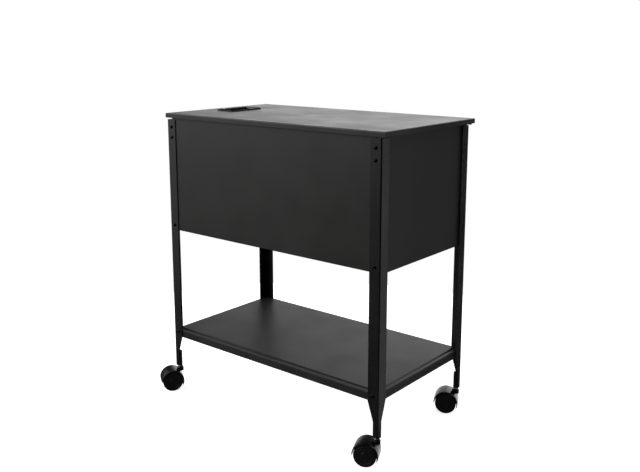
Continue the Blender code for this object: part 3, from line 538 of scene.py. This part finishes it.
def mould_hood(corner):
    """The fender over both wheels, crowned across its width, with its web and stem boss."""
    hub = Vector(joints[f"wheel_{corner}_a_spin"]["pos_m"])
    stem = Vector(joints[f"swivel_{corner}"]["pos_m"])
    heading = math.atan2(hub.y - stem.y, hub.x - stem.x)
    trail = math.hypot(hub.x - stem.x, hub.y - stem.y)
    radius = hub.z
    top = radius + HOOD_HEADROOM
    outer_line, inner_line = horned_crescent(radius + HOOD_OVER_WHEEL, HOOD_PEAK,
                                             radius + HOOD_OUTSIDE, HORN_DROP, 44)
    rows = 18
    rings = []
    for row in range(rows + 1):
        across = -1 + 2 * row / rows
        across = math.copysign(abs(across) ** 0.75, across)
        shoulder = max(0.0, abs(across) - 0.93) / 0.07
        crown = 0.5 * MM * across ** 2 + 0.9 * MM * (1 - math.sqrt(1 - shoulder ** 2))
        points = []
        for point, under in zip(outer_line, inner_line):
            room = (point - under).length
            points.append(point - point.normalized() * min(crown, 0.6 * room))
        rings.append([p + Vector((0, across * HOOD_HALF_WIDTH, 0))
                      for p in points + inner_line[::-1]])
    shell = stack_rings(rings)
    web = stack_rings([[p + Vector((0, y, 0)) for p in
                        [q * 0.985 for q in outer_line[4:-4]]
                        + [Vector((-8 * MM, 0, -12 * MM)), Vector((8 * MM, 0, -12 * MM))]]
                       for y in (-WEB_HALF_WIDTH, WEB_HALF_WIDTH)])
    lean = Matrix.Rotation(HOOD_LEAN, 3, "Y")
    for part in (shell, web):
        bmesh.ops.rotate(part, cent=(0, 0, 0), matrix=lean, verts=part.verts)
    boss = turn_profile([(0, top - BOSS_DEPTH), (BOSS_RADIUS, top - BOSS_DEPTH),
                         *arc((BOSS_RADIUS - BOSS_EDGE, top - BOSS_EDGE), BOSS_EDGE, 0, 90, 6),
                         (0, top)], 48)
    hole, reach = STEM_RADIUS + SEAT_GAP, 9 * MM
    bore = turn_profile([(0, top - reach), (hole, top - reach),
                         (hole, top + reach), (0, top + reach)], 32)
    for part in (boss, bore):
        bmesh.ops.translate(part, vec=(-trail, 0, 0), verts=part.verts)
    past = 30 * MM
    axle = stand_on(turn_profile([(0, -past), (AXLE_RADIUS, -past),
                                  (AXLE_RADIUS, past), (0, past)], 24), (0, 0, 0), (0, 1, 0))
    shell = carve(carve(shell, [web, boss], "UNION"), [bore, axle])
    bmesh.ops.transform(shell, matrix=Matrix.Translation(hub)
                        @ Matrix.Rotation(heading, 4, "Z"), verts=shell.verts)
    make_piece(f"hood_with_horns_{corner}", shell, HOOD_PLASTIC, f"caster_{corner}",
               [f"caster_hood_{corner}"], smooth=42)


def turn_stem(corner):
    """Zinc stem with a rolled collar under the leg's foot."""
    low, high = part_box(f"caster_stem_{corner}")
    centre = (low + high) / 2
    collar_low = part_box(f"caster_hood_{corner}")[1].z + SEAT_GAP
    collar_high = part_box(f"leg_{corner}")[0].z - SEAT_GAP
    middle = (collar_low + collar_high) / 2
    bulge = (collar_high - collar_low) / 2
    foot, tip = 0.4 * MM, 1.0 * MM
    profile = [(0, low.z), (STEM_RADIUS - foot, low.z), (STEM_RADIUS, low.z + foot),
               (STEM_RADIUS, collar_low),
               *arc((COLLAR_RADIUS - bulge, middle), bulge, -90, 90, 10),
               (STEM_RADIUS, collar_high), (STEM_RADIUS, high.z - tip),
               (STEM_RADIUS - tip, high.z), (0, high.z)]
    bm = stand_on(turn_profile(profile, 48), (centre.x, centre.y, 0), (0, 0, 1))
    make_piece(f"stem_with_collar_{corner}", bm, ZINC, "cart",
               [f"caster_stem_{corner}"])


# ------------------------------------------------------------------ studio
FLOOR_RADIUS = 1.0
# soft boxes around the cart: direction, cosines of the bright core and of the outer edge,
# brightness
BOXES = (((-0.342, 0.940, -0.08), 0.93, 0.74, 1.75),
         ((-0.75, -0.50, 0.50), 0.90, 0.60, 1.10),
         ((0.24, 0.77, 0.59), 0.985, 0.94, 2.20),
         ((0.0, -0.1, 1.0), 0.85, 0.30, 0.40))
AMBIENT = 0.03
# name, place and aim from the cart's middle, width and height, watts
LIGHTS = (("front_softbox", (-1.5, -1.9, 1.1), (0, 0, 0), (1.4, 1.2), 27.0),
          ("side_strip", (0.53, 0.13, 0.0), (0.32, -0.165, 0.0), (0.06, 1.0), 0.15),
          ("back_fill", (0.15, 0.85, -0.08), (-0.05, 0.17, -0.08), (0.5, 0.5), 0.7))


def lay_floor():
    material, tree = blank("pale_studio_floor")
    place = add(tree, "TexCoord").outputs["Object"]
    cloud = add(tree, "TexNoise", {"Vector": place, "Scale": 1 / (400 * MM), "Detail": 2.0})
    colour = add(tree, "Mix", {"Factor": cloud.outputs["Fac"], "A": srgb("#F4F4F4"),
                               "B": srgb("#F8F8F8")}, data_type="RGBA")
    far = add(tree, "VectorMath", {0: place}, operation="LENGTH")
    # painted light: the floor glows, at 0.82 under the cart and rising smoothly to full white
    # towards the rim, so that it fades into the white backdrop
    floor_glow = add(tree, "MapRange", {"Value": far.outputs["Value"],
                                 "From Min": 0.5 * FLOOR_RADIUS,
                                 "From Max": 0.9 * FLOOR_RADIUS, "To Min": 0.82,
                                 "To Max": 1.0}, interpolation_type="SMOOTHSTEP")
    finish_with(tree, add(tree, "BsdfPrincipled", {
        "Base Color": colour.outputs["Result"], "Roughness": 0.9,
        "Specular IOR Level": 0.1, "Emission Color": srgb("#FFFFFF"),
        "Emission Strength": floor_glow.outputs["Result"]}))
    bm = bmesh.new()
    bmesh.ops.create_circle(bm, cap_ends=True, segments=64, radius=FLOOR_RADIUS)
    mesh = bpy.data.meshes.new("studio_floor")
    bm.to_mesh(mesh)
    bm.free()
    mesh.materials.append(material)
    floor = bpy.data.objects.new("studio_floor", mesh)
    bpy.context.scene.collection.objects.link(floor)
    floor.visible_glossy = False        # a white floor would light every glossy upright


def light_studio(centre):
    """A white cyclorama behind, a dim room round it, and soft boxes in the room."""
    world = bpy.data.worlds.new("white_studio")
    world.use_nodes = True
    tree = world.node_tree
    tree.nodes.clear()
    around = add(tree, "TexCoord").outputs["Generated"]
    total = add(tree, "Value")
    total.outputs["Value"].default_value = AMBIENT
    total = total.outputs["Value"]
    for direction, core, edge, strength in BOXES:
        toward = add(tree, "VectorMath", {0: around, 1: Vector(direction).normalized()},
                     operation="DOT_PRODUCT")
        glow = add(tree, "MapRange", {"Value": toward.outputs["Value"], "From Min": edge,
                                      "From Max": core, "To Max": strength},
                   interpolation_type="SMOOTHSTEP")
        total = add(tree, "Math", {0: total, 1: glow.outputs["Result"]}).outputs["Value"]
    room = add(tree, "Background", {"Strength": total})
    room.inputs["Color"].default_value = srgb("#FFFFFF")
    backdrop = add(tree, "Background", {"Color": srgb("#FFFFFF"), "Strength": 1.0})
    seen = add(tree, "LightPath").outputs["Is Camera Ray"]
    mix = add(tree, "MixShader", {0: seen, 1: room.outputs["Background"],
                                  2: backdrop.outputs["Background"]})
    tree.links.new(mix.outputs["Shader"], add(tree, "OutputWorld").inputs["Surface"])
    bpy.context.scene.world = world
    for name, place, aim, size, power in LIGHTS:
        lamp = bpy.data.lights.new(name, "AREA")
        lamp.shape = "RECTANGLE"
        lamp.size, lamp.size_y = size
        lamp.energy = power
        item = bpy.data.objects.new(name, lamp)
        bpy.context.scene.collection.objects.link(item)
        item.location = Vector(centre) + Vector(place)
        item.rotation_euler = (Vector(aim) - Vector(place)).to_track_quat(
            "-Z", "Y").to_euler()
        item.visible_camera = False


CAMERA_YAW = math.radians(39.3)         # round to the right from straight in front
CAMERA_PITCH = math.radians(11.0)
CAMERA_DISTANCE = 1.921
CAMERA_HEIGHT = 0.888
CAMERA_SIDE_STEP = 0.0165


def place_camera(cart_middle):
    """A low three-quarter view from the front, a little above the lid."""
    yaw, down = CAMERA_YAW, CAMERA_PITCH
    look = Vector((-math.sin(yaw), math.cos(yaw), 0))
    across = Vector((math.cos(yaw), math.sin(yaw), 0))
    camera = bpy.data.cameras.new("camera")
    camera.sensor_width = 36.0
    camera.lens = 46.1
    camera.shift_y = -0.061
    item = bpy.data.objects.new("camera", camera)
    bpy.context.scene.collection.objects.link(item)
    item.location = (Vector((cart_middle.x, cart_middle.y, CAMERA_HEIGHT))
                     - look * CAMERA_DISTANCE + across * CAMERA_SIDE_STEP)
    aim = look * math.cos(down) + Vector((0, 0, -math.sin(down)))
    item.rotation_euler = aim.to_track_quat("-Z", "Y").to_euler()
    bpy.context.scene.camera = item


# ------------------------------------------------------------------ the whole scene
leg_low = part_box("leg_front_left")[0]
leg_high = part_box("leg_back_right")[1]
middle = (leg_low + leg_high) / 2

coat_cad_nodes()
fit_screws()
mould_handle_cup()
turn_lock()
for corner in CORNERS:
    mould_wheels(corner)
    mould_hood(corner)
    turn_stem(corner)
lay_floor()
light_studio((middle.x, middle.y, 0.4))
place_camera(middle)
bpy.context.scene.view_settings.view_transform = "Standard"
